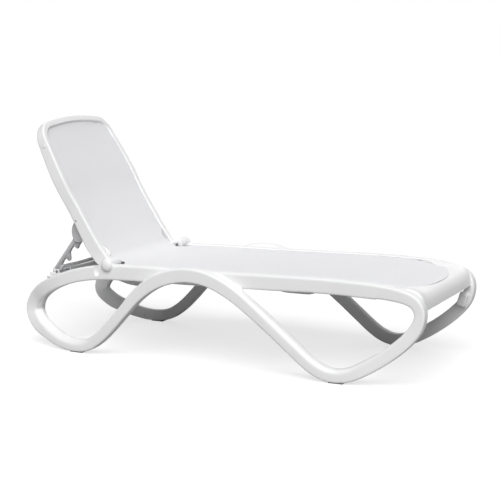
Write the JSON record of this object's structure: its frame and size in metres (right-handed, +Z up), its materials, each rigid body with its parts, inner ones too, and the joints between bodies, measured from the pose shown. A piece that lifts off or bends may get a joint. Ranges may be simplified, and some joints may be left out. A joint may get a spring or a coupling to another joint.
{
  "type": "reclining sun lounger",
  "caption": "Reclining garden lounger: moulded side frames with looped wave legs, a mesh sling seat, and a hinged back held by a notched prop.",
  "frame": {"origin": "middle of the bounding box on the floor, with the back in its raised notch", "axes": "+X from the head end to the foot end, +Y to the sitter's left, +Z up"},
  "size_m": [1.8822, 0.7502, 0.9956],
  "materials": {
    "white_resin": "fine satin moulded",
    "prop_resin": "satin moulded",
    "bush_resin": "smooth",
    "mesh_fabric": "woven coated mesh",
    "sling_cord": "extruded cord",
    "stainless_steel": "brushed",
    "grey_rubber": "matt"
  },
  "bodies": {
    "frame": {"side_frame_left": "white_resin", "side_frame_right": "white_resin", "seat_beam_rear": "white_resin", "seat_beam_front": "white_resin", "head_beam": "white_resin", "foot_crossbar": "white_resin", "ratchet_bar": "stainless_steel", "seat_sling": "mesh_fabric", "seat_sling_cord_left": "sling_cord", "hinge_pin_left": "stainless_steel", "hinge_cap_left": "white_resin", "foot_pad_head_left": "grey_rubber", "foot_pad_foot_left": "grey_rubber", "roller_axle_left": "stainless_steel", "head_beam_screw_left": "stainless_steel", "seat_beam_rear_screw_left": "stainless_steel", "seat_beam_front_screw_left": "stainless_steel", "foot_crossbar_screw_left": "stainless_steel", "seat_sling_cord_right": "sling_cord", "hinge_pin_right": "stainless_steel", "hinge_cap_right": "white_resin", "foot_pad_head_right": "grey_rubber", "foot_pad_foot_right": "grey_rubber", "roller_axle_right": "stainless_steel", "head_beam_screw_right": "stainless_steel", "seat_beam_rear_screw_right": "stainless_steel", "seat_beam_front_screw_right": "stainless_steel", "foot_crossbar_screw_right": "stainless_steel"},
    "backrest": {"back_frame": "white_resin", "back_sling": "mesh_fabric", "back_rear_rail": "prop_resin", "back_sling_cord_left": "sling_cord", "stacking_button_left": "white_resin", "rear_rail_screw_left": "stainless_steel", "hinge_bush_left": "bush_resin", "prop_pin_left": "stainless_steel", "back_sling_cord_right": "sling_cord", "stacking_button_right": "white_resin", "rear_rail_screw_right": "stainless_steel", "hinge_bush_right": "bush_resin", "prop_pin_right": "stainless_steel"},
    "prop": {"prop_arm_left": "prop_resin", "prop_arm_right": "prop_resin", "prop_cross_tube": "stainless_steel"},
    "roller_left": {"transport_roller_left": "grey_rubber"},
    "roller_right": {"transport_roller_right": "grey_rubber"}
  },
  "joints": [
    {"name": "back_recline", "type": "hinge", "parent": "frame", "child": "backrest", "pos_m": [-0.47988, 0, 0.392], "axis": [0, -1, 0], "range_deg": [0, 57.6]},
    {"name": "prop_swing", "type": "hinge", "parent": "backrest", "child": "prop", "pos_m": [-0.65037, 0, 0.52068], "axis": [0, -1, 0], "range_deg": [-115.4, 0]},
    {"name": "roller_left_spin", "type": "hinge", "parent": "frame", "child": "roller_left", "pos_m": [-0.70088, 0.33317, 0.0265], "axis": [0, 1, 0], "continuous": true},
    {"name": "roller_right_spin", "type": "hinge", "parent": "frame", "child": "roller_right", "pos_m": [-0.70088, -0.33317, 0.0265], "axis": [0, 1, 0], "continuous": true}
  ],
  "couplings": [
    {"joint": "prop_swing", "follows": "back_recline", "ratio": -2}
  ]
}
